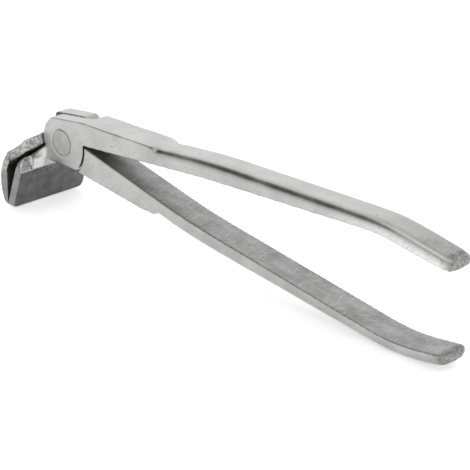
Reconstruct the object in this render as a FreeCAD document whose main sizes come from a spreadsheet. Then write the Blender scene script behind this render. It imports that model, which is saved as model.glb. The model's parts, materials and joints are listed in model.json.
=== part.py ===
import FreeCAD, Part
import math
import os
import Sketcher

# Hoof nipper: two forged arms crossing in a lap joint on one rivet.
# Millimetres. +X runs from the joint out along the handles, +Y is the joint's axis pointing
# away from the side where the upper arm's half of the lap lies, and +Z is up as the tool stands
# on its jaw tips and on the bend of the lower handle. The outlines are drawn about the joint's
# axis, and every finished piece is then set down so that the origin is under the middle of the
# standing tool, on the surface it stands on.

doc = FreeCAD.newDocument("hoof_nipper")
sheet = doc.addObject("Spreadsheet::Sheet", "sizes")

SIZES = [
    # the lap joint
    ("arm_width", 18.0, "width of both arms along the joint's axis"),
    ("lap_gap", 0.1, "running gap between the two halves of the lap"),
    ("boss_radius", 16.8, "rounded back of each half, about the joint's axis"),
    ("swing_gap", 1.2, "gap between a half's round back and the other arm's shoulder"),
    ("near_cut", 4.5, "top of the upper arm's half at its nose, below the boss radius"),
    ("far_cut", 2.2, "top of the lower arm's half at its back, below the boss radius"),
    ("far_nose_cut", 4.8, "top of that half at its front, below the boss radius"),
    ("foot_cut", 4.6, "flat underside of both halves, short of the boss radius"),
    ("nose_set", 2.2, "how much less the radius of the upper arm's nose is"),
    ("nose_gap", 0.8, "gap between that nose and the outer jaw's neck"),
    ("nose_drop", 5.0, "where the nose turns straight down, below the axis"),
    ("far_front", 15.5, "front of the lower arm's half, in front of the axis"),
    ("far_round", 3.0, "rounding of that half's upper front corner"),
    # the rivet
    ("rivet_radius", 5.5, "shank of the rivet"),
    ("head_radius", 7.2, "closed end of the rivet at the face"),
    ("head_depth", 2.4, "depth of the closed end's cone"),
    ("rivet_gap", 0.05, "running clearance of the rivet in the lower arm"),
    # the shanks, from the joint to the shoulder
    ("shank_start", 16.0, "where the upper shank starts, behind the axis; the lower at half"),
    ("shank_reach", 71.0, "distance from the axis to the shoulder"),
    ("upper_root_rise", 1.3, "upper shank's inner face above the axis, at the axis"),
    ("upper_slope", 4.8, "rise of the upper shank's inner face, degrees"),
    ("upper_crown", 15.0, "upper shank's top above the axis, at the axis"),
    ("upper_crown_slope", 1.1, "rise of the upper shank's top, degrees"),
    ("lower_root_rise", 6.0, "lower shank's inner face above the axis, at the axis"),
    ("lower_slope", 12.8, "fall of the lower shank's inner face, degrees"),
    ("lower_foot", 11.2, "lower shank's underside below the axis, at the axis"),
    ("lower_foot_slope", 7.3, "fall of the lower shank's underside, degrees"),
    # the handles, from the shoulder to the end
    ("handle_root", 8.8, "handles' thickness at the shoulder"),
    ("handle_bow", 8.9, "thickness at the first, gentle bend"),
    ("handle_bend", 6.4, "thickness at the second bend"),
    ("handle_end", 5.6, "thickness at the end"),
    ("shoulder_lap", 3.0, "how far a handle runs back inside its shank"),
    ("bow_radius", 400.0, "radius of the first bend"),
    ("bend_radius", 110.0, "radius of the second bend"),
    ("upper_lead", 28.0, "upper handle's straight length from shoulder to first bend"),
    ("upper_grip", 93.0, "its straight length between the bends"),
    ("upper_tail", 33.0, "its straight length after the second bend"),
    ("upper_bow", 2.1, "turn of the upper handle's first bend, degrees"),
    ("upper_bend", 11.2, "turn of its second bend, degrees"),
    ("lower_lead", 8.0, "lower handle's straight length from shoulder to first bend"),
    ("lower_grip", 107.0, "its straight length between the bends"),
    ("lower_tail", 14.0, "its straight length after the second bend"),
    ("lower_bow", 4.4, "turn of the lower handle's first bend, degrees"),
    ("lower_bend", 16.6, "turn of its second bend, degrees"),
    ("handle_round", 4.6, "rounding of the handles' outer edges"),
    ("end_round", 5.0, "rounding of the handles' end corners"),
    # both jaws
    ("jaw_width", 48.6, "width of both jaws along the joint's axis"),
    ("jaw_depth", 39.8, "jaw tips below the axis"),
    ("mouth_x", 27.1, "closing line of the tips, in front of the axis"),
    ("tip_gap", 0.2, "gap left between the closed tips"),
    ("jaw_corner", 3.5, "rounding of the jaws' lower corners"),
    # the outer jaw, on the lower arm
    ("neck_front", 14.0, "start of the neck's top, in front of the axis"),
    ("neck_top", 3.6, "start of the neck's top above the axis"),
    ("neck_slope", 43.0, "fall of the neck, degrees"),
    ("neck_depth", 5.3, "thickness of the neck"),
    ("bulge_x", 32.5, "outer jaw's most forward point, in front of the axis"),
    ("bulge_depth", 25.2, "that point below the axis"),
    ("outer_lip_x", 29.2, "outer jaw's face above the tip, in front of the axis"),
    ("outer_lip_rise", 1.9, "that point above the tip"),
    ("outer_lip_radius", 27.0, "roundness of the outer jaw's face below the bulge"),
    ("tip_radius", 2.6, "rounding of the outer jaw's tip"),
    ("crook_radius", 9.0, "inside of the outer jaw's bend"),
    ("outer_shoulder_x", 15.5, "root of the outer jaw's shoulders, in front of the axis"),
    ("shoulder_sweep", 4.0, "how far forward the shoulders run to their corners"),
    ("outer_shoulder_round", 6.0, "rounding of the outer jaw's shoulders"),
    # the inner jaw, on the upper arm
    ("crest_x", 18.9, "inner jaw's crest in front of the axis"),
    ("crest_depth", 8.8, "inner jaw's crest below the axis"),
    ("shelf_x", 15.3, "back edge of the inner jaw's top, in front of the axis"),
    ("shelf_depth", 17.8, "that edge below the axis"),
    ("heel_x", 21.9, "inner jaw's back at the tip, in front of the axis"),
    ("heel_rise", 1.8, "where the tip's rounding starts, above the tip"),
    ("hollow_x", 20.5, "inner jaw's front face beside the hollow"),
    ("hollow_depth", 18.0, "that point below the axis"),
    ("shoulder_drop", 1.8, "fall of the inner jaw's shoulders to their corners"),
    ("inner_shoulder_round", 7.6, "rounding of the inner jaw's shoulders"),
    ("flare_width", 15.4, "where the near half's flare meets the shoulder, from the middle"),
    ("flare_radius", 8.0, "hollow of that flare"),
    ("flare_start", 3.5, "top of that flare, below the axis"),
    ("flare_drop", 1.3, "where it meets the shoulder, below the crest"),
]

for row, (alias, value, meaning) in enumerate(SIZES, start=1):
    sheet.set("A%d" % row, alias)
    sheet.set("B%d" % row, repr(value))
    sheet.set("C%d" % row, meaning)
    sheet.setAlias("B%d" % row, alias)
doc.recompute()


class Size:
    """A length or angle as text for an expression, with its present value."""

    def __init__(self, text, value):
        self.text = text
        self.value = value

    def join(self, other, sign, value):
        other_text = other.text if isinstance(other, Size) else repr(other)
        return Size("(%s %s %s)" % (self.text, sign, other_text), value)

    def __add__(self, other):
        return self.join(other, "+", self.value + number(other))

    def __sub__(self, other):
        return self.join(other, "-", self.value - number(other))

    def __mul__(self, other):
        return self.join(other, "*", self.value * number(other))

    def __truediv__(self, other):
        return self.join(other, "/", self.value / number(other))

    def __neg__(self):
        return Size("(0 - %s)" % self.text, -self.value)


def number(item):
    return item.value if isinstance(item, Size) else item


def size(alias):
    return Size("sizes." + alias, float(sheet.get(alias)))


def sine(angle):
    return Size("sin(%s * 1 deg)" % angle.text, math.sin(math.radians(angle.value)))


def cosine(angle):
    return Size("cos(%s * 1 deg)" % angle.text, math.cos(math.radians(angle.value)))


def slope(angle):
    return Size("tan(%s * 1 deg)" % angle.text, math.tan(math.radians(angle.value)))


ZERO = Size("0", 0.0)
SIDE_VIEW = "XZ_Plane"
PLAN_VIEW = "XY_Plane"
FRONT_VIEW = "YZ_Plane"


def new_body(name):
    body = doc.addObject("PartDesign::Body", name)
    body.Label = name
    return body


def new_sketch(body, name, view, offset=None):
    """A sketch on one of the body's own origin planes, moved along its normal by offset."""
    sketch = body.newObject("Sketcher::SketchObject", name)
    plane = [item for item in body.Origin.OriginFeatures if item.Role == view][0]
    sketch.AttachmentSupport = [(plane, "")]
    sketch.MapMode = "FlatFace"
    if offset is not None:
        sketch.setExpression("AttachmentOffset.Base.z", offset.text)
    return sketch


def bind(sketch, kind, refs, item):
    """Add a dimension to a sketch and tie it to the sheet."""
    index = sketch.addConstraint(Sketcher.Constraint(kind, *refs, item.value))
    sketch.setExpression("Constraints[%d]" % index, item.text)


def place_point(sketch, edge, end, x, y):
    """Fix one end of an edge at x and y from the sketch's origin; None leaves one free."""
    if x is not None:
        bind(sketch, "DistanceX", (-1, 1, edge, end), x)
    if y is not None:
        bind(sketch, "DistanceY", (-1, 1, edge, end), y)


def vector(x, y):
    return FreeCAD.Vector(number(x), number(y), 0)


def arc_edge(first, last, radius, left):
    """A minor arc from first to last; left puts its centre on the left of that direction."""
    chord = last - first
    half = chord.Length / 2
    normal = FreeCAD.Vector(-chord.y, chord.x, 0).normalize() * (1 if left else -1)
    centre = (first + last) * 0.5 + normal * math.sqrt(max(radius ** 2 - half ** 2, 0))
    start = math.atan2(first.y - centre.y, first.x - centre.x)
    stop = math.atan2(last.y - centre.y, last.x - centre.x)
    circle = Part.Circle(centre, FreeCAD.Vector(0, 0, 1), radius)
    if left:
        return Part.ArcOfCircle(circle, start, stop), 1, 2
    return Part.ArcOfCircle(circle, stop, start), 2, 1


def outline(sketch, corners):
    """Draw a closed outline. Each corner is (x, y) or (x, y, radius, left): with a radius, the
    edge that leaves the corner is an arc of that radius, centred on the left or the right."""
    ends = []
    for index, corner in enumerate(corners):
        following = corners[(index + 1) % len(corners)]
        first = vector(corner[0], corner[1])
        last = vector(following[0], following[1])
        if len(corner) == 2:
            edge = sketch.addGeometry(Part.LineSegment(first, last), False)
            ends.append((edge, 1, 2))
            continue
        shape, begin, finish = arc_edge(first, last, corner[2].value, corner[3])
        edge = sketch.addGeometry(shape, False)
        ends.append((edge, begin, finish))
    for index, (edge, begin, finish) in enumerate(ends):
        after = ends[(index + 1) % len(ends)]
        sketch.addConstraint(Sketcher.Constraint("Coincident", edge, finish, after[0], after[1]))
    for (edge, begin, finish), corner in zip(ends, corners):
        place_point(sketch, edge, begin, corner[0], corner[1])
        if len(corner) == 4:
            bind(sketch, "Radius", (edge,), corner[2])


def circle_outline(sketch, radius):
    edge = sketch.addGeometry(Part.Circle(vector(0, 0), FreeCAD.Vector(0, 0, 1), radius.value), False)
    sketch.addConstraint(Sketcher.Constraint("Coincident", edge, 3, -1, 1))
    bind(sketch, "Radius", (edge,), radius)


def pad(body, name, sketch, length, both=False, reverse=False):
    feature = body.newObject("PartDesign::Pad", name)
    feature.Profile = sketch
    feature.setExpression("Length", length.text)
    feature.SideType = "Symmetric" if both else "One side"
    feature.Reversed = reverse
    return feature


def pocket(body, name, sketch, length, both=False, reverse=False):
    feature = body.newObject("PartDesign::Pocket", name)
    feature.Profile = sketch
    feature.setExpression("Length", length.text)
    feature.SideType = "Symmetric" if both else "One side"
    feature.Reversed = reverse
    return feature


def round_edges(body, name, radius, wanted):
    """Fillet every edge of the body's tip that the test picks."""
    doc.recompute()
    base = body.Tip
    names = ["Edge%d" % (i + 1) for i, edge in enumerate(base.Shape.Edges) if wanted(edge)]
    if not names:
        raise RuntimeError(name + " found no edges")
    feature = body.newObject("PartDesign::Fillet", name)
    feature.Base = (base, names)
    feature.setExpression("Radius", radius.text)
    return feature


def add_line(sketch, first, last):
    return sketch.addGeometry(Part.LineSegment(vector(*first), vector(*last)), False)


def step(point, angle, length):
    """The point a length away in a direction given in degrees."""
    turn = math.radians(angle)
    return (point[0] + length * math.cos(turn), point[1] + length * math.sin(turn))


def touch_angle(first, first_radius, second, second_radius, side):
    """The direction, in degrees, from two circles' centres to the line that touches both."""
    across = (second[0] - first[0], second[1] - first[1])
    lean = math.acos((first_radius - second_radius) / math.hypot(*across))
    return math.degrees(math.atan2(across[1], across[0]) + side * lean)


def bar_arc(sketch, centre, radius, first, last):
    """An arc between two directions in degrees; returns its edge and the ends at first, last."""
    circle = Part.Circle(vector(*centre), FreeCAD.Vector(0, 0, 1), radius)
    low, high = sorted((math.radians(first), math.radians(last)))
    edge = sketch.addGeometry(Part.ArcOfCircle(circle, low, high), False)
    return (edge, 1, 2) if first < last else (edge, 2, 1)


def handle_outline(sketch, start, heading, turns_of, lengths, side):
    """A bar with two bends towards the other handle, thinning to its end. start is where its
    inner face begins and heading is that face's direction; side is 1 where the outer face lies
    above the inner one and -1 where it lies below. Returns the edges of the outer face."""
    bow, bend = turns_of
    lead, grip, tail = lengths
    first_run = lead + size("shoulder_lap")
    root, end = size("handle_root"), size("handle_end")
    bow_radius, bend_radius = size("bow_radius"), size("bend_radius")
    bow_outer = bow_radius + size("handle_bow")
    bend_outer = bend_radius + size("handle_bend")
    angles = [heading, heading - bow * side, heading - bow * side - bend * side]
    out = [angle.value + 90 * side for angle in angles]

    inner = [(start[0].value, start[1].value)]
    inner.append(step(inner[0], angles[0].value, first_run.value))
    bow_centre = step(inner[1], out[0], -bow_radius.value)
    inner.append(step(bow_centre, out[1], bow_radius.value))
    inner.append(step(inner[2], angles[1].value, grip.value))
    bend_centre = step(inner[3], out[1], -bend_radius.value)
    inner.append(step(bend_centre, out[2], bend_radius.value))
    inner.append(step(inner[4], angles[2].value, tail.value))
    outer = [step(inner[0], out[0], root.value), step(inner[5], out[2], end.value)]
    reach = [0, bow_outer.value, bend_outer.value, 0]
    spots = [outer[0], bow_centre, bend_centre, outer[1]]
    turns = [touch_angle(spots[i], reach[i], spots[i + 1], reach[i + 1], side) for i in range(3)]
    outer.insert(1, step(bow_centre, turns[0], bow_outer.value))
    outer.insert(2, step(bow_centre, turns[1], bow_outer.value))
    outer.insert(3, step(bend_centre, turns[1], bend_outer.value))
    outer.insert(4, step(bend_centre, turns[2], bend_outer.value))

    lines = [add_line(sketch, inner[i], inner[i + 1]) for i in (0, 2, 4)]
    backs = [add_line(sketch, outer[i], outer[i + 1]) for i in (0, 2, 4)]
    end_cap = add_line(sketch, inner[5], outer[5])
    root_cap = add_line(sketch, outer[0], inner[0])
    arcs = [
        bar_arc(sketch, bow_centre, bow_radius.value, out[0], out[1]),
        bar_arc(sketch, bend_centre, bend_radius.value, out[1], out[2]),
    ]
    back_arcs = [
        bar_arc(sketch, bow_centre, bow_outer.value, turns[0], turns[1]),
        bar_arc(sketch, bend_centre, bend_outer.value, turns[1], turns[2]),
    ]

    def join(kind, *refs):
        sketch.addConstraint(Sketcher.Constraint(kind, *refs))

    for runs, bends in ((lines, arcs), (backs, back_arcs)):
        for index, (edge, begin, finish) in enumerate(bends):
            join("Tangent", runs[index], 2, edge, begin)
            join("Tangent", edge, finish, runs[index + 1], 1)
    join("Coincident", lines[2], 2, end_cap, 1)
    join("Coincident", end_cap, 2, backs[2], 2)
    join("Coincident", backs[0], 1, root_cap, 1)
    join("Coincident", root_cap, 2, lines[0], 1)
    join("Coincident", arcs[0][0], 3, back_arcs[0][0], 3)
    join("Coincident", arcs[1][0], 3, back_arcs[1][0], 3)
    join("Perpendicular", lines[2], end_cap)
    join("Perpendicular", lines[0], root_cap)
    place_point(sketch, lines[0], 1, start[0], start[1])
    for line, length in zip(lines, (first_run, grip, tail)):
        bind(sketch, "Distance", (line,), length)
    for line, angle in zip(lines, angles):
        turn = Size("%s * 1 deg" % angle.text, math.radians(angle.value))
        bind(sketch, "Angle", (line,), turn)
    bind(sketch, "Distance", (end_cap,), end)
    bind(sketch, "Distance", (root_cap,), root)
    for (edge, begin, finish), radius in zip(arcs, (bow_radius, bend_radius)):
        bind(sketch, "Radius", (edge,), radius)
    for (edge, begin, finish), radius in zip(back_arcs, (bow_outer, bend_outer)):
        bind(sketch, "Radius", (edge,), radius)
    return backs + [edge for edge, begin, finish in back_arcs], end_cap


def middle(edge):
    return edge.valueAt((edge.FirstParameter + edge.LastParameter) / 2)


NEAR = 0.01
# A trimming cut reaches this many jaw widths through, and its outline this far past the side.
CUT_REACH = 4
CUT_MARGIN = 1.2
# A half of the lap runs on into its shank to this share of the shank's start.
HALF_REACH = 1.5


def build_handle(body, start, heading, turns_of, lengths, side):
    """The handle: a bent bar, round on its outer side and at its end, flat on its inner side."""
    sketch = new_sketch(body, body.Name + "_handle_outline", SIDE_VIEW)
    back_edges, end_cap = handle_outline(sketch, start, heading, turns_of, lengths, side)
    pad(body, body.Name + "_handle", sketch, size("arm_width"), both=True)
    doc.recompute()
    half = size("arm_width").value / 2
    cap = sketch.Geometry[end_cap].toShape()
    backs = [sketch.Geometry[edge].toShape() for edge in back_edges]

    def on_profile(edge, shapes):
        point = middle(edge)
        spot = Part.Vertex(point.x, point.z, 0)
        return min(shape.distToShape(spot)[0] for shape in shapes) < NEAR

    def is_end_corner(edge):
        return abs(abs(middle(edge).y) - half) < NEAR and on_profile(edge, [cap])

    round_edges(body, body.Name + "_end_corners", size("end_round"), is_end_corner)
    last = cap.valueAt(cap.LastParameter)

    def is_outer_rim(edge):
        point = middle(edge)
        if not on_profile(edge, backs):
            return False
        if abs(point.y) > NEAR:
            return True
        return math.hypot(point.x - last.x, point.z - last.y) < NEAR

    round_edges(body, body.Name + "_outer_rim", size("handle_round"), is_outer_rim)


def shank_outline(sketch, near, inner_rise, inner_slope, outer_rise, outer_slope):
    """A tapering block: straight inner and outer faces from near the joint to the shoulder."""
    far = size("shank_reach")
    outline(sketch, [
        (near, inner_rise + near * inner_slope),
        (far, inner_rise + far * inner_slope),
        (far, outer_rise + far * outer_slope),
        (near, outer_rise + near * outer_slope),
    ])


def lap_pocket(body, name, radius, far_side):
    """Cut one half of the lap clear: a disc about the axis, from just past the lap plane."""
    gap = size("lap_gap")
    depth = size("arm_width") / 2 + gap / 2
    sketch = new_sketch(body, name + "_outline", SIDE_VIEW, gap / 2 if far_side else -gap / 2)
    circle_outline(sketch, radius)
    return pocket(body, name, sketch, depth, reverse=not far_side)


def half_pad(body, name, corners, far_side):
    """Raise one half of the lap: from half a gap off the lap plane out to the arm's side."""
    gap = size("lap_gap")
    sketch = new_sketch(body, name + "_outline", SIDE_VIEW, -gap / 2 if far_side else gap / 2)
    outline(sketch, corners)
    return pad(body, name, sketch, size("arm_width") / 2 - gap / 2, reverse=far_side)


def rivet_profile(sketch, radius, head_radius, head_depth, reach, from_y, to_y):
    """Half the section of a shank with a cone at the ends that from_y and to_y reach."""
    corners = [(ZERO, -reach if from_y else ZERO)]
    if from_y:
        corners += [(head_radius, -reach), (radius, head_depth - reach)]
    else:
        corners += [(radius, ZERO)]
    if to_y:
        corners += [(radius, reach - head_depth), (head_radius, reach), (ZERO, reach)]
    else:
        corners += [(radius, ZERO), (ZERO, ZERO)]
    outline(sketch, corners)


def turn_about_axis(body, kind, name, sketch):
    feature = body.newObject("PartDesign::" + kind, name)
    feature.Profile = sketch
    feature.ReferenceAxis = (sketch, ["V_Axis"])
    feature.Angle = 360
    return feature


def bore(body, name, clearance, far_side):
    """The countersunk hole for the rivet through one half of the lap."""
    sketch = new_sketch(body, name + "_section", PLAN_VIEW)
    reach = size("arm_width") / 2
    wide = size("rivet_radius") + clearance
    head = size("head_radius") + clearance
    rivet_profile(sketch, wide, head, size("head_depth"), reach, not far_side, far_side)
    return turn_about_axis(body, "Groove", name, sketch)


def build_rivet():
    body = new_body("pivot_rivet")
    sketch = new_sketch(body, "rivet_section", PLAN_VIEW)
    reach = size("arm_width") / 2
    rivet_profile(sketch, size("rivet_radius"), size("head_radius"), size("head_depth"),
                  reach, True, True)
    turn_about_axis(body, "Revolution", "rivet_turned", sketch)
    return body


def shoulder_pocket(body, name, view, corners_of):
    """Trim both wings of a jaw with one outline and its mirror image."""
    for side, word in ((1, "far"), (-1, "near")):
        sketch = new_sketch(body, "%s_%s_outline" % (name, word), view)
        outline(sketch, corners_of(side))
        pocket(body, "%s_%s" % (name, word), sketch, size("jaw_width") * CUT_REACH, both=True)


def round_jaw_corners(body, name):
    """Round the two lower corners of a jaw, seen from the front."""
    half = size("jaw_width").value / 2
    top = -size("jaw_depth").value

    def is_corner(edge):
        point = middle(edge)
        return abs(abs(point.y) - half) < NEAR and abs(point.z - top) < NEAR

    round_edges(body, name, size("jaw_corner"), is_corner)


def build_upper_arm():
    """Handle, near half of the lap, and the flat inner jaw."""
    body = new_body("upper_arm")
    rise = slope(size("upper_slope"))
    root = size("upper_root_rise")
    start = size("shank_reach") - size("shoulder_lap")
    build_handle(body, (start, root + start * rise), size("upper_slope"),
                 (size("upper_bow"), size("upper_bend")),
                 (size("upper_lead"), size("upper_grip"), size("upper_tail")), 1)

    shank = new_sketch(body, "upper_shank_outline", SIDE_VIEW)
    shank_outline(shank, size("shank_start"), root, rise, size("upper_crown"),
                  slope(size("upper_crown_slope")))
    pad(body, "upper_shank", shank, size("arm_width"), both=True)
    lap_pocket(body, "upper_lap", size("boss_radius") + size("swing_gap"), True)

    # the half boss: round back, flat foot, round nose; its top runs into the shank's, and its
    # back meets the shank's inner face and goes on inside the shank
    radius, drop = size("boss_radius"), size("nose_drop")
    nose, foot, top = (radius - size(cut) for cut in ("nose_set", "foot_cut", "near_cut"))
    front, join = root_of(nose, drop), size("shank_start")
    meet, inside = root * 2, root * 3
    half_pad(body, "near_half", [
        (join, size("upper_crown") + join * slope(size("upper_crown_slope"))),
        (-root_of(nose, top), top, nose, True),
        (-front, -drop),
        (-front, -foot),
        (root_of(radius, foot), -foot, radius, True),
        (root_of(radius, meet), meet),
        (join * HALF_REACH, inside),
    ], False)

    # the neck of the inner jaw, in the near half only
    crest_x, crest = size("crest_x"), size("crest_depth")
    shelf_x, shelf = size("shelf_x"), size("shelf_depth")
    half_pad(body, "inner_neck", [
        (-front / 2, -drop),
        (-front, -drop),
        (-crest_x, -crest),
        (-shelf_x, -shelf),
        (-front, -foot),
        (-front / 2, -foot),
    ], False)

    # the flare beside the neck, rounded off by the shoulder's cut below
    gap = size("lap_gap")
    flare = new_sketch(body, "inner_flare_outline", SIDE_VIEW, gap / 2)
    outline(flare, [
        (-front, -drop),
        (-crest_x, -crest),
        (-shelf_x, -shelf),
        (gap - front, -foot),
    ])
    pad(body, "inner_flare", flare, size("flare_width") - gap / 2)

    # the jaw's plate, full width
    depth, mouth = size("jaw_depth"), size("mouth_x")
    lip = size("heel_rise")
    plate = new_sketch(body, "inner_jaw_outline", SIDE_VIEW)
    outline(plate, [
        (-mouth + size("tip_gap") / 2, -depth),
        (-mouth + size("tip_gap") / 2, lip - depth),
        (-size("hollow_x"), -size("hollow_depth")),
        (-crest_x, -crest),
        (-shelf_x, -shelf),
        (-size("heel_x"), lip - depth, size("tip_radius"), False),
        (-size("heel_x") - lip, -depth),
    ])
    pad(body, "inner_jaw", plate, size("jaw_width"), both=True)

    flare_radius = size("flare_radius")

    def shoulder(side):
        half, wing = size("arm_width") / 2 * side, size("jaw_width") / 2 * side
        rounding = size("inner_shoulder_round")
        corner = crest + size("shoulder_drop")
        clear = wing * CUT_MARGIN
        return [
            (half, ZERO),
            (half, -size("flare_start"), flare_radius, side > 0),
            (size("flare_width") * side, -crest - size("flare_drop")),
            (wing - rounding * side, -corner, rounding, side < 0),
            (wing, -corner - rounding),
            (clear, -corner - rounding),
            (clear, ZERO),
        ]

    shoulder_pocket(body, "inner_shoulder", FRONT_VIEW, shoulder)
    round_jaw_corners(body, "inner_jaw_corners")
    bore(body, "near_bore", ZERO, False)
    return body


def root_of(radius, offset):
    """The half chord of a circle at an offset from its centre."""
    value = math.sqrt(radius.value ** 2 - offset.value ** 2)
    return Size("sqrt(%s ^ 2 - %s ^ 2)" % (radius.text, offset.text), value)


def build_lower_arm():
    """Handle, far half of the lap, and the hooked outer jaw."""
    body = new_body("lower_arm")
    fall = -slope(size("lower_slope"))
    root = size("lower_root_rise")
    start = size("shank_reach") - size("shoulder_lap")
    build_handle(body, (start, root + start * fall), -size("lower_slope"),
                 (size("lower_bow"), size("lower_bend")),
                 (size("lower_lead"), size("lower_grip"), size("lower_tail")), -1)

    shank = new_sketch(body, "lower_shank_outline", SIDE_VIEW)
    shank_outline(shank, size("shank_start") / 2, root, fall, -size("lower_foot"),
                  -slope(size("lower_foot_slope")))
    pad(body, "lower_shank", shank, size("arm_width"), both=True)
    lap_pocket(body, "lower_lap", size("boss_radius") + size("swing_gap"), False)

    # the half boss: round back, flat foot, squared front above the neck
    radius = size("boss_radius")
    nose, foot, top = (radius - size(cut) for cut in ("far_nose_cut", "foot_cut", "far_cut"))
    front, rounding = size("far_front"), size("far_round")
    neck_x, neck_z = size("neck_front"), size("neck_top")
    half_pad(body, "far_half", [
        (size("shank_start") * HALF_REACH, -size("lower_foot")),
        (size("shank_start") * HALF_REACH, ZERO),
        (root_of(radius, root / 2), root / 2, radius, True),
        (root_of(radius, top), top),
        (rounding - front, nose, rounding, True),
        (-front, nose - rounding),
        (-front, neck_z / 2),
        (-front / 2, -foot),
    ], True)

    # the jaw: a neck that slopes down and forward, a round back, and a lip bent to the mouth
    depth, mouth = size("jaw_depth"), size("mouth_x")
    jaw = new_sketch(body, "outer_jaw_outline", SIDE_VIEW)
    outer_jaw_outline(jaw, neck_x, neck_z, depth, mouth)
    pad(body, "outer_jaw", jaw, size("jaw_width"), both=True)

    def shoulder(side):
        half, wing = size("arm_width") / 2 * side, size("jaw_width") / 2 * side
        round_off = size("outer_shoulder_round")
        shoulder_x = size("outer_shoulder_x")
        corner = shoulder_x + size("shoulder_sweep")
        clear = wing * CUT_MARGIN
        return [
            (ZERO, half),
            (-shoulder_x, half),
            (-corner, wing - round_off * side, round_off, side < 0),
            (-corner - round_off, wing),
            (-corner - round_off, clear),
            (ZERO, clear),
        ]

    shoulder_pocket(body, "outer_shoulder", PLAN_VIEW, shoulder)
    lap_pocket(body, "nose_seat", radius - size("nose_set") + size("nose_gap"), False)
    round_jaw_corners(body, "outer_jaw_corners")
    bore(body, "far_bore", size("rivet_gap"), True)
    return body


def outer_jaw_outline(sketch, neck_x, neck_z, depth, mouth):
    """Back: a straight neck tangent to an arc that turns straight down at the bulge, then a
    second arc to the lip. Front: up the mouth line, round the crook and along the neck."""
    angle = size("neck_slope")
    bulge_x, bulge = size("bulge_x"), size("bulge_depth")
    lip_x, lip_z = size("outer_lip_x"), depth - size("outer_lip_rise")
    inside = mouth + size("tip_gap") / 2
    under_x = neck_x - size("neck_depth") * sine(angle)
    under_z = neck_z - size("neck_depth") * cosine(angle)
    # the arc that touches the neck's line and stands upright at the bulge
    rise = neck_z + bulge - (bulge_x - neck_x) * slope(angle)
    radius = rise * cosine(angle) / (Size("1", 1.0) - sine(angle))
    touch_x = bulge_x - radius * (Size("1", 1.0) - sine(angle))
    touch_z = radius * cosine(angle) - bulge
    # where the crook's arc leaves the mouth line and meets the neck's underside
    crook = size("crook_radius")
    meet_z = under_z - (inside - under_x) * slope(angle)
    run = crook * slope((Size("90", 90.0) - angle) / 2)
    outline(sketch, [
        (-neck_x, neck_z),
        (-touch_x, touch_z, radius, True),
        (-bulge_x, -bulge, size("outer_lip_radius"), True),
        (-lip_x, -lip_z, size("tip_radius"), True),
        (-lip_x + size("outer_lip_rise"), -depth),
        (-inside, -depth),
        (-inside, meet_z - run, crook, False),
        (run * cosine(angle) - inside, meet_z + run * sine(angle)),
        (-under_x, under_z),
    ])


upper_arm = build_upper_arm()
lower_arm = build_lower_arm()
pivot_rivet = build_rivet()
PIECES = [upper_arm, lower_arm, pivot_rivet]
doc.recompute()

for item in doc.Objects:
    if "Invalid" in item.State or "Error" in item.State:
        raise RuntimeError("%s failed: %s" % (item.Name, item.State))

for piece in PIECES:
    if piece.Shape.isNull() or not piece.Shape.isValid() or len(piece.Shape.Solids) != 1:
        raise RuntimeError(piece.Name + " is not one valid solid")

# Set the tool down: its lowest point on the ground, the middle of its length and width above
# the origin.
box = Part.makeCompound([piece.Shape for piece in PIECES]).optimalBoundingBox(False)
drop = FreeCAD.Vector(-box.Center.x, -box.Center.y, -box.ZMin)
for piece in PIECES:
    piece.Placement = FreeCAD.Placement(drop, FreeCAD.Rotation())
doc.recompute()
print("axis of the joint at", -box.Center.x, -box.Center.y, -box.ZMin)

os.makedirs("parts", exist_ok=True)
for piece in PIECES:
    piece.Shape.exportStep("parts/%s.step" % piece.Label)
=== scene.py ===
"""A hoof nipper of polished steel: two forged arms lapped and riveted at the joint."""

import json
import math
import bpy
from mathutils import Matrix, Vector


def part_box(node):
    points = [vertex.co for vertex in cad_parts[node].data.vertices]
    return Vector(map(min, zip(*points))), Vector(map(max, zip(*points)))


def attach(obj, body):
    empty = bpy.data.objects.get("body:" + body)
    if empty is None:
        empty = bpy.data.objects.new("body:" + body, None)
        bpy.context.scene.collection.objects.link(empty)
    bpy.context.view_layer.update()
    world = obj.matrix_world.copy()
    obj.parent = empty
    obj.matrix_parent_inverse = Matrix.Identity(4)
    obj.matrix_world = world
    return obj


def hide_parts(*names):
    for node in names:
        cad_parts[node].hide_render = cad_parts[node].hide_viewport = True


bl_info = {
    "name": "Hoof Nipper",
    "version": (1, 0, 0),
    "blender": (4, 5, 0),
    "location": "3D View > Sidebar > Nipper",
    "description": "Finishes a hoof nipper around its packed frame and lights it in a studio",
    "category": "Add Mesh",
}

import bmesh
import bpy
import numpy as np
from mathutils import Matrix, Vector

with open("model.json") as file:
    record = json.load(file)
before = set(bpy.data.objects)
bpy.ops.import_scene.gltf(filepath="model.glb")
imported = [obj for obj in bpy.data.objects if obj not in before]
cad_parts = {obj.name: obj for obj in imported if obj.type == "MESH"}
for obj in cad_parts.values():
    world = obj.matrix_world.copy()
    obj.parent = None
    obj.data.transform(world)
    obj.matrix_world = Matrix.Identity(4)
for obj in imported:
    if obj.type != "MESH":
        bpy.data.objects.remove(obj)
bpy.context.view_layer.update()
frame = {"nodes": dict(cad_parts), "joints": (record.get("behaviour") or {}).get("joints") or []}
JOINT = frame["joints"][0]
AXIS = np.array(JOINT["pos_m"], dtype=float)
MM = 0.001

# Spacing of the random lumps in millimetres: on the forged skin, on the battered ends of the
# handles, along the handles and over a whole arm. The ends' lumps have their own height.
FORGED_CELL, END_CELL, HANDLE_CELL, ARM_CELL = 1.8, 2.4, 14.0, 22.0
END_HEIGHT = 0.6
# The rivet: its shank, just inside the bore, and the depth of the cone at each end.
SHANK_RADIUS, CONE_DEPTH = 5.45 * MM, 2.4 * MM
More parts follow.
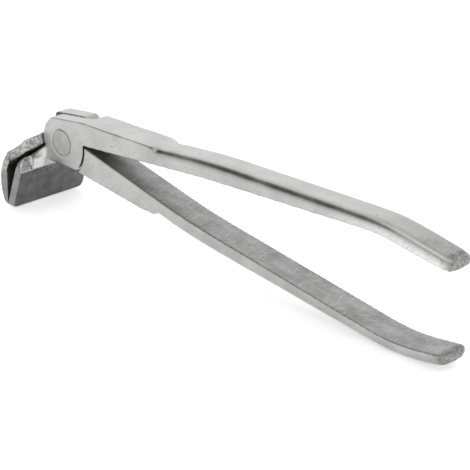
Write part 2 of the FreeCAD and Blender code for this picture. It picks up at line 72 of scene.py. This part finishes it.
# The stage, in metres: the floor's side, the sizes of the dark flag and the softbox, how far
# both stand from the tool, and their ways from it.
FLOOR_SIDE, CARD_DISTANCE = 8.0, 3.0
FLAG_SIZE, SOFTBOX_SIZE = (2.6, 1.8), (3.0, 2.4)
FLAG_WAY, SOFTBOX_WAY = (-0.646, -0.388, 0.659), (-0.60, 0.62, 0.50)
# The camera: its place in millimetres from the joint, the way it looks back along, its tilt.
CAMERA_PLACE = (735.03, -626.57, 350.88)
CAMERA_BACK = (0.64570, -0.65803, 0.38738)
CAMERA_TILT = math.radians(1.0)


# ---------------------------------------------------------------- settings


class NipperShape(bpy.types.PropertyGroup):
    grain: bpy.props.FloatProperty(
        name="Skin grain",
        description="Spacing of the points on both arms' skins",
        default=0.55 * MM, min=0.3 * MM, max=2.0 * MM, unit="LENGTH", precision=5)
    hammer: bpy.props.FloatProperty(
        name="Hammer marks",
        description="Height of the forged lumps on the jaws' shoulders, in millimetres",
        default=0.14, min=0.0, max=2.0)
    ripple: bpy.props.FloatProperty(
        name="Polishing ripple",
        description="Height of the long waves that polishing leaves on the arms, in millimetres",
        default=0.05, min=0.0, max=0.5)
    rivet_seam: bpy.props.FloatProperty(
        name="Rivet seam",
        description="Width of the fine groove round the rivet's closed end",
        default=0.16 * MM, min=0.02 * MM, max=0.5 * MM, unit="LENGTH", precision=5)
    rivet_dish: bpy.props.FloatProperty(
        name="Rivet dish",
        description="How far the middle of the rivet's end is ground below its rim",
        default=0.10 * MM, min=0.0, max=0.5 * MM, unit="LENGTH", precision=5)


class NipperFinish(bpy.types.PropertyGroup):
    polished: bpy.props.FloatVectorProperty(
        name="Polished steel", description="Colour of the polished flats and handles",
        default=(0.44, 0.44, 0.436), size=3, min=0.0, max=1.0, subtype="COLOR")
    ground: bpy.props.FloatVectorProperty(
        name="Ground steel", description="Colour of the handles' ground inner faces and worn top",
        default=(0.31, 0.31, 0.308), size=3, min=0.0, max=1.0, subtype="COLOR")
    # colour for painted shade on the inner jaw's back and the lap faces in the joint's gap, and for
    # the dull steel of the lap and the battered ends
    painted_shade_and_dull: bpy.props.FloatVectorProperty(
        name="Dark steel", description="Colour of the inner jaw's back, the lap and the battered ends",
        default=(0.13, 0.13, 0.13), size=3, min=0.0, max=1.0, subtype="COLOR")
    forged: bpy.props.FloatVectorProperty(
        name="Forged steel", description="Colour of the pitted shoulders of the jaws",
        default=(0.42, 0.42, 0.41), size=3, min=0.0, max=1.0, subtype="COLOR")
    floor: bpy.props.FloatVectorProperty(
        name="Floor", description="Colour of the studio floor",
        default=(0.93, 0.93, 0.93), size=3, min=0.0, max=1.0, subtype="COLOR")


class NipperStudio(bpy.types.PropertyGroup):
    surround: bpy.props.FloatProperty(
        name="Surround", description="Brightness of the pale studio all round",
        default=1.0, min=0.0, max=4.0)
    overhead: bpy.props.FloatProperty(
        name="Overhead light", description="Power of the large soft light above",
        default=8.0, min=0.0, max=500.0, unit="POWER")
    focal: bpy.props.FloatProperty(
        name="Focal length", description="Focal length of the camera on a 36 mm sensor",
        default=148.47, min=10.0, max=400.0)


# ---------------------------------------------------------------- materials


class Recipe:
    """Builds one node material; every texture reads Object coordinates, in metres."""

    def __init__(self, name):
        self.material = bpy.data.materials.new(name)
        self.material.use_nodes = True
        self.tree = self.material.node_tree
        self.shader = self.tree.nodes["Principled BSDF"]
        self.coords = self.tree.nodes.new("ShaderNodeTexCoord").outputs["Object"]

    def node(self, kind, **inputs):
        made = self.tree.nodes.new(kind)
        for key, value in inputs.items():
            self.feed(made.inputs[key.replace("_", " ")], value)
        return made

    def feed(self, socket, value):
        if isinstance(value, bpy.types.NodeSocket):
            self.tree.links.new(value, socket)
        else:
            socket.default_value = value

    def placed(self, centre=(0, 0, 0), turn=(0, 0, 0), scale=(1, 1, 1)):
        """Object coordinates measured from a centre, turned, then stretched."""
        mapping = self.node("ShaderNodeMapping", Vector=self.coords)
        mapping.vector_type = "TEXTURE"
        mapping.inputs["Location"].default_value = centre
        mapping.inputs["Rotation"].default_value = turn
        mapping.inputs["Scale"].default_value = [1 / item for item in scale]
        return mapping.outputs[0]

    def noise(self, vector, scale, detail=3.0, rough=0.5):
        made = self.node("ShaderNodeTexNoise", Vector=vector, Scale=scale, Detail=detail,
                         Roughness=rough)
        return made.outputs["Fac"]

    def spread(self, value, low, high, to_low=0.0, to_high=1.0):
        """A value's range low to high, carried smoothly to another range."""
        made = self.node("ShaderNodeMapRange", Value=value)
        made.interpolation_type = "SMOOTHSTEP"
        self.feed(made.inputs["From Min"], low)
        self.feed(made.inputs["From Max"], high)
        self.feed(made.inputs["To Min"], to_low)
        self.feed(made.inputs["To Max"], to_high)
        return made.outputs["Result"]

    def math(self, operation, *values):
        made = self.tree.nodes.new("ShaderNodeMath")
        made.operation = operation
        for socket, value in zip(made.inputs, values):
            self.feed(socket, value)
        return made.outputs[0]

    def blend(self, amount, first, second):
        made = self.tree.nodes.new("ShaderNodeMix")
        made.data_type = "RGBA"
        made.clamp_factor = True
        self.feed(made.inputs[0], amount)
        self.feed(made.inputs[6], first)
        self.feed(made.inputs[7], second)
        return made.outputs[2]

    def bump(self, height, distance, strength=1.0, below=None):
        made = self.node("ShaderNodeBump", Height=height, Distance=distance, Strength=strength)
        if below is not None:
            self.feed(made.inputs["Normal"], below)
        return made.outputs["Normal"]

    def mask(self, name):
        """A mask painted on the skin's points."""
        made = self.tree.nodes.new("ShaderNodeAttribute")
        made.attribute_name = name
        return made.outputs["Fac"]

    def axis(self, index):
        parts = self.node("ShaderNodeSeparateXYZ", Vector=self.coords)
        return parts.outputs[index]


def rgba(colour, factor=1.0):
    return (colour[0] * factor, colour[1] * factor, colour[2] * factor, 1.0)


def arm_steel(finish):
    """Polished steel with lengthwise lines, faint clouds, scuffs and a few pits. The skin's own
    masks lighten it with a painted highlight, or turn it into ground steel with coarse crossed
    scratches, darker steel that is partly dull steel and partly painted shade, or pitted forged steel."""
    made = Recipe("worked_steel")
    masks = ("ground", "painted_shade_and_dull", "forged", "painted_highlight")
    ground, painted_shade_and_dull, forged, painted_highlight = (made.mask(name) for name in masks)
    # scales count waves in a metre, along x, y and z where there are three
    lines = made.noise(made.placed(scale=(60, 900, 2600)), 1.0, 2.0)
    across = made.noise(made.placed(turn=(0, 0, 0.3), scale=(1300, 110, 300)), 1.0, 3.0, 0.6)
    crossed = made.noise(made.placed(turn=(0, 0, -0.6), scale=(1500, 130, 300)), 1.0, 3.0, 0.6)
    across = made.math("MAXIMUM", across, crossed)
    scuffs = made.noise(made.placed(turn=(0, 0.9, 0), scale=(1800, 1800, 110)), 1.0, 3.0)
    pits = made.noise(made.coords, 330.0, 2.0)
    clouds = made.noise(made.coords, 70.0, 3.0)
    stains = made.noise(made.placed(scale=(60, 170, 170)), 1.0, 4.0)
    knobs = made.noise(made.coords, 650.0, 4.0, 0.65)
    holes = made.noise(made.coords, 1150.0, 3.0, 0.6)
    corrosion = made.noise(made.coords, 780.0, 3.0, 0.6)
    soft = made.spread(clouds, 0.3, 0.7)

    bright = made.blend(soft, rgba(finish.polished, 0.87), rgba(finish.polished, 1.11))
    # the next mask paints a highlight: the polished steel made lighter
    bright = made.blend(painted_highlight, bright, rgba(finish.polished, 1.55))
    bright = made.blend(made.spread(scuffs, 0.52, 0.68, 0.0, 0.45), bright,
                        rgba(finish.polished, 0.72))
    bright = made.blend(made.spread(pits, 0.74, 0.77), bright, rgba(finish.polished, 0.35))
    dull = made.blend(made.spread(stains, 0.3, 0.7), rgba(finish.ground, 0.78),
                      rgba(finish.ground, 1.08))
    dull = made.blend(made.spread(across, 0.5, 0.72, 0.0, 0.75), dull, rgba(finish.ground, 1.5))
    # painted shade and dull steel: the inner jaw's back and the lap's gap are painted shade, the lap
    # and the battered ends are dull
    shade_and_dull_steel = made.blend(made.spread(stains, 0.3, 0.7), rgba(finish.painted_shade_and_dull, 0.8),
                       rgba(finish.painted_shade_and_dull, 1.2))
    high = made.spread(made.axis(2), AXIS[2] - 27 * MM, AXIS[2] - 17 * MM)
    specks = made.math("MULTIPLY", made.spread(corrosion, 0.56, 0.63), high)
    shade_and_dull_steel = made.blend(specks, shade_and_dull_steel, rgba(finish.painted_shade_and_dull, 0.35))
    rough_skin = made.blend(made.spread(knobs, 0.38, 0.62), rgba(finish.forged, 0.62),
                            rgba(finish.forged, 1.4))
    rough_skin = made.blend(made.spread(holes, 0.57, 0.67), rough_skin,
                            rgba(finish.forged, 0.35))
    colour = made.blend(ground, bright, dull)
    # lay on the painted shade and the dull steel
    colour = made.blend(painted_shade_and_dull, colour, shade_and_dull_steel)
    made.feed(made.shader.inputs["Base Color"], made.blend(forged, colour, rough_skin))
    made.shader.inputs["Metallic"].default_value = 1.0

    rough = made.spread(clouds, 0.3, 0.75, 0.28, 0.38)
    for mask, added in ((ground, 0.16), (painted_shade_and_dull, 0.22), (forged, 0.12)):
        rough = made.math("ADD", rough, made.math("MULTIPLY", mask, added))
    made.feed(made.shader.inputs["Roughness"], rough)

    normal = made.bump(lines, 0.02 * MM, 0.5)
    normal = made.bump(made.math("MULTIPLY", across, ground), 0.08 * MM, 0.8, normal)
    normal = made.bump(made.math("MULTIPLY", knobs, forged), 0.5 * MM, 0.7, normal)
    made.feed(made.shader.inputs["Normal"], normal)
    return made.material


def shared_steel(finish):
    """Both arms' one steel, made for whichever arm comes first."""
    return bpy.data.materials.get("worked_steel") or arm_steel(finish)


def rivet_steel(finish):
    """Steel ground flat in swirls about the rivet's middle, a little duller than the arms."""
    made = Recipe("ground_rivet")
    clouds = made.noise(made.placed(centre=AXIS, scale=(160, 160, 160)), 1.0, 4.0)
    lines = made.noise(made.placed(centre=AXIS, turn=(0, 0.6, 0), scale=(2600, 300, 200)), 1.0)
    tone = made.blend(made.spread(clouds, 0.35, 0.65), rgba(finish.polished, 0.80),
                      rgba(finish.polished, 1.0))
    made.feed(made.shader.inputs["Base Color"], tone)
    made.shader.inputs["Metallic"].default_value = 1.0
    made.feed(made.shader.inputs["Roughness"], made.spread(clouds, 0.3, 0.7, 0.34, 0.45))
    made.feed(made.shader.inputs["Normal"], made.bump(lines, 0.03 * MM, 0.6))
    return made.material


def studio_paint(name, colour, glow=0.0, rough=0.9):
    made = Recipe(name)
    tone = made.spread(made.noise(made.coords, 3.0), 0.3, 0.7)
    made.feed(made.shader.inputs["Base Color"],
              made.blend(tone, rgba(colour, 0.985), rgba(colour)))
    made.shader.inputs["Roughness"].default_value = rough
    made.shader.inputs["Emission Color"].default_value = rgba(colour)
    made.shader.inputs["Emission Strength"].default_value = glow
    return made.material


# ---------------------------------------------------------------- shapes


def add_object(name, mesh):
    made = bpy.data.objects.new(name, mesh)
    bpy.context.scene.collection.objects.link(made)
    return made


def chance(i, j, k, seed):
    """A repeatable value from 0 to 1 for each whole-number cell (i, j, k)."""
    mixed = (i * 73856093) ^ (j * 19349663) ^ (k * 83492791) ^ (seed * 2654435761)
    mixed = ((mixed ^ (mixed >> 13)) * 1274126177) & 0x7FFFFFFF
    return ((mixed >> 7) & 0xFFFF) / 65535.0


def waves(points, cell, seed):
    """Smooth random waves from 0 to 1: each point blends the values at the eight corners of its
    cell, with the weights 3t^2 - 2t^3 along each side."""
    place = points / cell
    corner = np.floor(place).astype(np.int64)
    part = place - corner
    part = part * part * (3 - 2 * part)
    total = np.zeros(len(points))
    for dx, dy, dz in np.ndindex(2, 2, 2):
        weight = (np.where(dx, part[:, 0], 1 - part[:, 0])
                  * np.where(dy, part[:, 1], 1 - part[:, 1])
                  * np.where(dz, part[:, 2], 1 - part[:, 2]))
        total += weight * chance(corner[:, 0] + dx, corner[:, 1] + dy, corner[:, 2] + dz, seed)
    return total


def lumps(points, cell, seed):
    """Three layers of waves, each half the cell and half the height of the one before,
    centred on 0."""
    return sum(waves(points, cell / 2 ** n, seed + n) / 2 ** n for n in range(3)) / 1.75 - 0.5


# The arms' masks are products of ramps. The limits of a ramp are millimetres from the joint's
# axis for x, y, z and side (the distance from the middle), and parts of 1 for a normal.


def ramp(value, low, high):
    """0 below low, 1 above high, and 3t^2 - 2t^3 between."""
    part = np.clip((value - low) / (high - low), 0, 1)
    return part * part * (3 - 2 * part)


def lap_faces(side, ny):
    """The faces that slide on each other in the joint: by the middle and facing sideways."""
    return ramp(side, 0.6, 0.2) * ramp(np.abs(ny), 0.5, 0.8)


def jaw_ends(x, side, ny):
    """The narrow faces at the two ends of a jaw."""
    return ramp(-x, 14, 16) * ramp(side, 22.5, 23.5) * ramp(np.abs(ny), 0.5, 0.8)


def battered_end(points, seed):
    """The last few millimetres of a handle, from a line that waves move by up to 6 mm."""
    return ramp(points[:, 0] + 6 * waves(points, 3.0, seed), 256, 262)


class Skin:
    """An even skin of small faces over one CAD node. Its points are in millimetres from the
    joint's axis: x back along the handles, y across to the far side and z up."""

    def __init__(self, node, name, grain):
        mesh = frame["nodes"][node].data.copy()
        mesh.materials.clear()
        solid = bmesh.new()
        solid.from_mesh(mesh)
        bmesh.ops.remove_doubles(solid, verts=solid.verts, dist=1e-6)
        solid.to_mesh(mesh)
        solid.free()
        rough = add_object(name + "_rough", mesh)
        remesh = rough.modifiers.new("even faces", "REMESH")
        remesh.mode = "VOXEL"
        remesh.voxel_size = grain
        graph = bpy.context.evaluated_depsgraph_get()
        self.mesh = bpy.data.meshes.new_from_object(rough.evaluated_get(graph))
        self.mesh.name = name
        self.name = name
        bpy.data.objects.remove(rough)
        flat = np.empty(len(self.mesh.vertices) * 3)
        self.mesh.vertices.foreach_get("co", flat)
        self.points = (flat.reshape(-1, 3) - AXIS) / MM
        self.edges = np.empty(len(self.mesh.edges) * 2, dtype=np.int64)
        self.mesh.edges.foreach_get("vertices", self.edges)
        self.edges = self.edges.reshape(-1, 2)
        self.low, self.high = ((np.array(corner) - AXIS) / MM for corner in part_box(node))
        self.store()

    def store(self):
        """Put the points back into the mesh and read the new normals."""
        self.mesh.vertices.foreach_set("co", (self.points * MM + AXIS).ravel())
        self.mesh.update()
        flat = np.empty(len(self.points) * 3)
        self.mesh.vertex_normals.foreach_get("vector", flat)
        self.normals = flat.reshape(-1, 3)

    def relax(self, amount, rounds):
        """Move each point towards the mean of its neighbours, by an amount from 0 to 1."""
        first, second = self.edges.T
        count = len(self.points)
        shared = np.bincount(first, minlength=count) + np.bincount(second, minlength=count)
        amount = np.broadcast_to(amount, count)[:, None]
        for _ in range(rounds):
            total = np.stack([
                np.bincount(first, self.points[second, axis], count)
                + np.bincount(second, self.points[first, axis], count)
                for axis in range(3)], axis=-1)
            self.points = self.points + amount * (total / shared[:, None] - self.points)
        self.store()

    def push(self, height):
        """Raise each point along its normal by a height in millimetres, inside the node's box."""
        raised = self.points + self.normals * height[:, None]
        self.points = np.clip(raised, self.low, self.high)
        self.store()

    def weather(self, forged, end, shape, waviness, seeds):
        """Raise the forged lumps and the battered end where their masks are, then the waves
        along the handle and over the whole arm, each with its own seed."""
        along = ramp(self.points[:, 0], 60, 90)
        self.push(forged * lumps(self.points, FORGED_CELL, seeds[0]) * shape.hammer
                  + end * lumps(self.points, END_CELL, seeds[1]) * END_HEIGHT
                  + along * lumps(self.points, HANDLE_CELL, seeds[2]) * shape.ripple * waviness
                  + lumps(self.points, ARM_CELL, seeds[3]) * shape.ripple)

    def paint(self, name, amount):
        """Give each point an amount from 0 to 1, which the steel reads as a mask."""
        layer = self.mesh.attributes.new(name, "FLOAT", "POINT")
        layer.data.foreach_set("value", np.clip(amount, 0, 1).astype(np.float32))

    def finish(self, material, body, node):
        """Smooth the skin and let it stand for its node, riding on its body."""
        self.mesh.polygons.foreach_set("use_smooth", np.ones(len(self.mesh.polygons), bool))
        self.mesh.materials.append(material)
        piece = add_object(self.name, self.mesh)
        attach(piece, body)
        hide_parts(node)


def revolve(name, radii, heights, centre, segments=96):
    """A turned piece about Y: the point (radius r, height h) at angle t is
    (r cos t, h, r sin t) from the centre; the two end radii are 0 and each closes to a pole."""
    radii, heights = np.asarray(radii), np.asarray(heights)
    turn = np.linspace(0, 2 * np.pi, segments, endpoint=False)
    ring = np.arange(1, len(radii) - 1)
    r, h = radii[ring][:, None], heights[ring][:, None]
    points = np.stack([r * np.cos(turn), h + 0 * turn, r * np.sin(turn)], axis=-1)
    points = points.reshape(-1, 3)
    poles = np.array([[0, heights[0], 0], [0, heights[-1], 0]])
    points = np.concatenate([points, poles]) + np.asarray(centre)
    i, j = np.meshgrid(np.arange(len(ring) - 1), np.arange(segments), indexing="ij")
    k = (j + 1) % segments
    quads = np.stack([i * segments + j, i * segments + k, (i + 1) * segments + k,
                      (i + 1) * segments + j], axis=-1).reshape(-1, 4)
    first, last = len(points) - 2, len(points) - 1
    around = np.arange(segments)
    after = (around + 1) % segments
    top = (len(ring) - 1) * segments
    caps = np.concatenate([
        np.stack([np.full(segments, first), after, around], axis=-1),
        np.stack([np.full(segments, last), top + around, top + after], axis=-1)])
    mesh = bpy.data.meshes.new(name)
    mesh.from_pydata(points.tolist(), [], quads.tolist() + caps.tolist())
    mesh.validate()
    shape = bmesh.new()
    shape.from_mesh(mesh)
    bmesh.ops.recalc_face_normals(shape, faces=shape.faces)
    shape.to_mesh(mesh)
    shape.free()
    mesh.polygons.foreach_set("use_smooth", np.ones(len(mesh.polygons), bool))
    return mesh


# ---------------------------------------------------------------- operators


class NIPPER_OT_upper_arm(bpy.types.Operator):
    """Upper handle, near half of the joint and the flat inner jaw"""

    bl_idname = "nipper.upper_arm"
    bl_label = "Upper Arm"

    def execute(self, context):
        shape, finish = context.scene.nipper_shape, context.scene.nipper_finish
        skin = Skin("upper_arm", "upper_arm_steel", shape.grain)
        # soften the flare beside the neck, the shoulder's step and the handle's end
        x, y, z = skin.points.T
        side = np.abs(y)
        flare = (ramp(-x, 11, 14) * ramp(-z, 2, 6) * ramp(-z, 15, 12) * ramp(side, 6, 8)
                 * ramp(side, 17, 13) * ramp(-x, 24, 20))
        end = ramp(x, 250, 256)
        step = ramp(x, 66, 70) * ramp(x, 80, 74) * ramp(z, 8, 12)
        skin.relax(0.5, rounds=2)
        skin.relax(np.clip(flare + (0.12 + 0.4 * ramp(y, 1, 6)) * end + step, 0, 0.6),
                   rounds=24)

        x, y, z = skin.points.T
        nx, ny, nz = skin.normals.T
        side = np.abs(y)
        # the forged skin on the jaw's shoulders, and the flare, which gets a painted highlight
        uneven = 2.0 * lumps(skin.points, 4.0, 3)
        shoulder = ramp(-x, 13, 15) * ramp(-z, 7, 9) * ramp(-z, 22, 19) * ramp(nz, 0.0, 0.3)
        forged = shoulder * ramp(side + uneven, 12, 14) * ramp(side + uneven, 22, 20.5)
        flare_highlight = ramp(-x, 11, 13) * ramp(-z, 4, 6) * ramp(-z, 20, 16) * ramp(side, 8, 10)
        end = battered_end(skin.points, 5)
        skin.weather(forged, end, shape, waviness=4, seeds=(11, 17, 23, 29))

        # the jaw's back in painted shade, the handle's flat top and its sides with a painted highlight
        back = ramp(-z, 16.8, 17.8) * ramp(nx, 0.55, 0.8) * ramp(nz, 0.15, -0.05)
        crown = ramp(nz, 0.8, 0.95)
        worn = ramp(x, 200, 268) * crown
        jaw_end = jaw_ends(x, side, ny)
        skin.paint("forged", forged + end * 0.5)
        # painted shade on the jaw's back and on the lap faces in the gap, over the lap's own dull
        # steel; the battered end is dull steel
        skin.paint("painted_shade_and_dull", lap_faces(side, ny) + back + end * 0.8 + jaw_end * 0.2)
        # painted highlight on the handle's sides towards its end and on the flare
        skin.paint("painted_highlight", ramp(x, 170, 245) * (1 - crown) + flare_highlight * 0.8)
        skin.paint("ground", ramp(x, 20, 30) * ramp(-nz, 0.6, 0.9) + jaw_end + worn)
        skin.finish(shared_steel(finish), "upper", "upper_arm")
        return {"FINISHED"}


class NIPPER_OT_lower_arm(bpy.types.Operator):
    """Lower handle, far half of the joint and the hooked outer jaw"""

    bl_idname = "nipper.lower_arm"
    bl_label = "Lower Arm"

    def execute(self, context):
        shape, finish = context.scene.nipper_shape, context.scene.nipper_finish
        skin = Skin("lower_arm", "lower_arm_steel", shape.grain)
        # soften the handle's end, the shoulder's step, and the jaw's neck and shoulders
        x, y, z = skin.points.T
        side = np.abs(y)
        end = ramp(x, 250, 256)
        step = ramp(x, 62, 70) * ramp(x, 82, 74) * ramp(-z, 16, 19)
        neck = ramp(-x, 12, 15) * ramp(-x, 24, 19) * ramp(side, 7, 9) * ramp(side, 16, 11)
        corner = ramp(side, 15, 20) * ramp(-x, 20, 24) * ramp(z, -18, -12)
        skin.relax(0.5, rounds=2)
        skin.relax(np.clip(0.12 * end + step, 0, 0.6), rounds=20)
        skin.relax(np.clip(neck + corner, 0, 0.5), rounds=8)

        x, y, z = skin.points.T
        _, ny, nz = skin.normals.T
        side = np.abs(y)
        # the forged skin on the jaw's shoulders
        forged = (ramp(side, 8, 11) * ramp(-x, 13, 15) * ramp(z, -24, -17)
                  * np.maximum(ramp(nz, -0.1, 0.3), ramp(np.abs(ny), 0.2, 0.4)))
        end = battered_end(skin.points, 7)
        skin.weather(forged, end, shape, waviness=3, seeds=(31, 37, 41, 43))

        jaw_end = jaw_ends(x, side, ny)
        skin.paint("forged", forged + end * 0.5)
        # painted shade on the lap faces in the gap, over their own dull steel; the battered end is
        # dull steel
        skin.paint("painted_shade_and_dull", lap_faces(side, ny) + end * 0.8 + jaw_end * 0.2)
        skin.paint("ground", ramp(x, 16, 20) * ramp(nz, 0.6, 0.9) + jaw_end)
        skin.finish(shared_steel(finish), "lower", "lower_arm")
        return {"FINISHED"}


class NIPPER_OT_rivet(bpy.types.Operator):
    """The rivet, closed into a cone at both ends and ground flush"""

    bl_idname = "nipper.rivet"
    bl_label = "Rivet"

    def execute(self, context):
        shape, finish = context.scene.nipper_shape, context.scene.nipper_finish
        low, high = (np.array(corner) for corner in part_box("pivot_rivet"))
        half = (high[1] - low[1]) / 2
        rim = (high[0] - low[0]) / 2
        seam = shape.rivet_seam
        # one end of the profile from its middle outwards, then the cone and the shank
        steps = np.linspace(0, 1, 9)
        edge = rim - seam
        dish = half - shape.rivet_dish * (1 - (steps * edge / rim) ** 2)
        radii = np.concatenate([steps * edge, [edge + seam * 0.4, edge, SHANK_RADIUS]])
        heights = np.concatenate([dish, [half - seam, half - seam * 1.6, half - CONE_DEPTH]])
        radii = np.concatenate([radii, radii[::-1]])
        heights = np.concatenate([heights, -heights[::-1]])
        mesh = revolve("rivet_steel", radii, heights, AXIS)
        mesh.materials.append(rivet_steel(finish))
        piece = add_object("rivet_steel", mesh)
        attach(piece, "upper")
        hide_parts("pivot_rivet")
        return {"FINISHED"}


class NIPPER_OT_stage(bpy.types.Operator):
    """Pale floor, soft studio light and the camera"""

    bl_idname = "nipper.stage"
    bl_label = "Stage"

    def execute(self, context):
        scene = context.scene
        finish, studio = scene.nipper_finish, scene.nipper_studio
        scene.view_settings.view_transform = "Standard"
        floor = self.card("floor", (0, 0, 0), (0, 0, 1), FLOOR_SIDE, FLOOR_SIDE,
                          studio_paint("floor_paint", finish.floor, glow=0.45))
        flag_way = Vector(FLAG_WAY)
        flag = self.card("dark_flag", flag_way * CARD_DISTANCE, -flag_way, *FLAG_SIZE,
                         studio_paint("flag_paint", (0.02, 0.02, 0.02)))
        flag.visible_camera = False
        flag.visible_shadow = False

        world = bpy.data.worlds.new("pale studio")
        world.use_nodes = True
        back = world.node_tree.nodes["Background"]
        back.inputs["Color"].default_value = (1, 1, 1, 1)
        back.inputs["Strength"].default_value = studio.surround
        scene.world = world

        lamp = bpy.data.lights.new("overhead softbox", "AREA")
        lamp.shape = "RECTANGLE"
        lamp.size, lamp.size_y = SOFTBOX_SIZE
        lamp.energy = studio.overhead
        above = bpy.data.objects.new("overhead softbox", lamp)
        place = Vector(SOFTBOX_WAY) * CARD_DISTANCE
        above.matrix_world = self.facing(place, place)
        scene.collection.objects.link(above)

        # the camera, turned about its own line of sight by the tilt
        lens = bpy.data.cameras.new("camera")
        lens.lens = studio.focal
        lens.sensor_width = 36.0
        lens.clip_start, lens.clip_end = 0.01, 100.0
        eye = bpy.data.objects.new("camera", lens)
        back_way = Vector(CAMERA_BACK).normalized()
        level = Vector((0, 0, 1)).cross(back_way).normalized()
        upright = back_way.cross(level)
        right = level * math.cos(CAMERA_TILT) + upright * math.sin(CAMERA_TILT)
        upright = back_way.cross(right)
        turn = Matrix((right, upright, back_way)).transposed().to_4x4()
        place = Vector(AXIS) + Vector(CAMERA_PLACE) * MM
        eye.matrix_world = Matrix.Translation(place) @ turn
        scene.collection.objects.link(eye)
        scene.camera = eye
        return {"FINISHED"}

    @staticmethod
    def facing(place, way):
        """A matrix that puts a card or lamp at a place with its lit side turned from way."""
        turn = Vector(way).to_track_quat("Z", "Y")
        return Matrix.Translation(place) @ turn.to_matrix().to_4x4()

    def card(self, name, place, way, width, height, paint):
        """A flat card: the corners are the place, plus and minus half its sides."""
        corners = np.array([[-1, -1], [1, -1], [1, 1], [-1, 1]]) * (width / 2, height / 2)
        matrix = self.facing(Vector(place), Vector(way))
        mesh = bpy.data.meshes.new(name)
        points = [matrix @ Vector((x, y, 0)) for x, y in corners]
        mesh.from_pydata(points, [], [(0, 1, 2, 3)])
        mesh.materials.append(paint)
        return add_object(name, mesh)


class NIPPER_PT_panel(bpy.types.Panel):
    """Lists the nipper's pieces and settings"""

    bl_idname = "NIPPER_PT_panel"
    bl_label = "Hoof Nipper"
    bl_space_type = "VIEW_3D"
    bl_region_type = "UI"
    bl_category = "Nipper"

    def draw(self, context):
        layout = self.layout
        for operator in OPERATORS:
            layout.operator(operator.bl_idname)
        for group in (context.scene.nipper_shape, context.scene.nipper_finish,
                      context.scene.nipper_studio):
            box = layout.box()
            for name in group.__annotations__:
                box.prop(group, name)


GROUPS = (NipperShape, NipperFinish, NipperStudio)
OPERATORS = (NIPPER_OT_upper_arm, NIPPER_OT_lower_arm, NIPPER_OT_rivet, NIPPER_OT_stage)


def register():
    for item in GROUPS + OPERATORS + (NIPPER_PT_panel,):
        bpy.utils.register_class(item)
    bpy.types.Scene.nipper_shape = bpy.props.PointerProperty(type=NipperShape)
    bpy.types.Scene.nipper_finish = bpy.props.PointerProperty(type=NipperFinish)
    bpy.types.Scene.nipper_studio = bpy.props.PointerProperty(type=NipperStudio)


def unregister():
    del bpy.types.Scene.nipper_studio
    del bpy.types.Scene.nipper_finish
    del bpy.types.Scene.nipper_shape
    for item in reversed(GROUPS + OPERATORS + (NIPPER_PT_panel,)):
        bpy.utils.unregister_class(item)


def main():
    register()
    bpy.ops.nipper.upper_arm()
    bpy.ops.nipper.lower_arm()
    bpy.ops.nipper.rivet()
    bpy.ops.nipper.stage()
    bpy.context.view_layer.update()


if __name__ == "__main__":
    main()
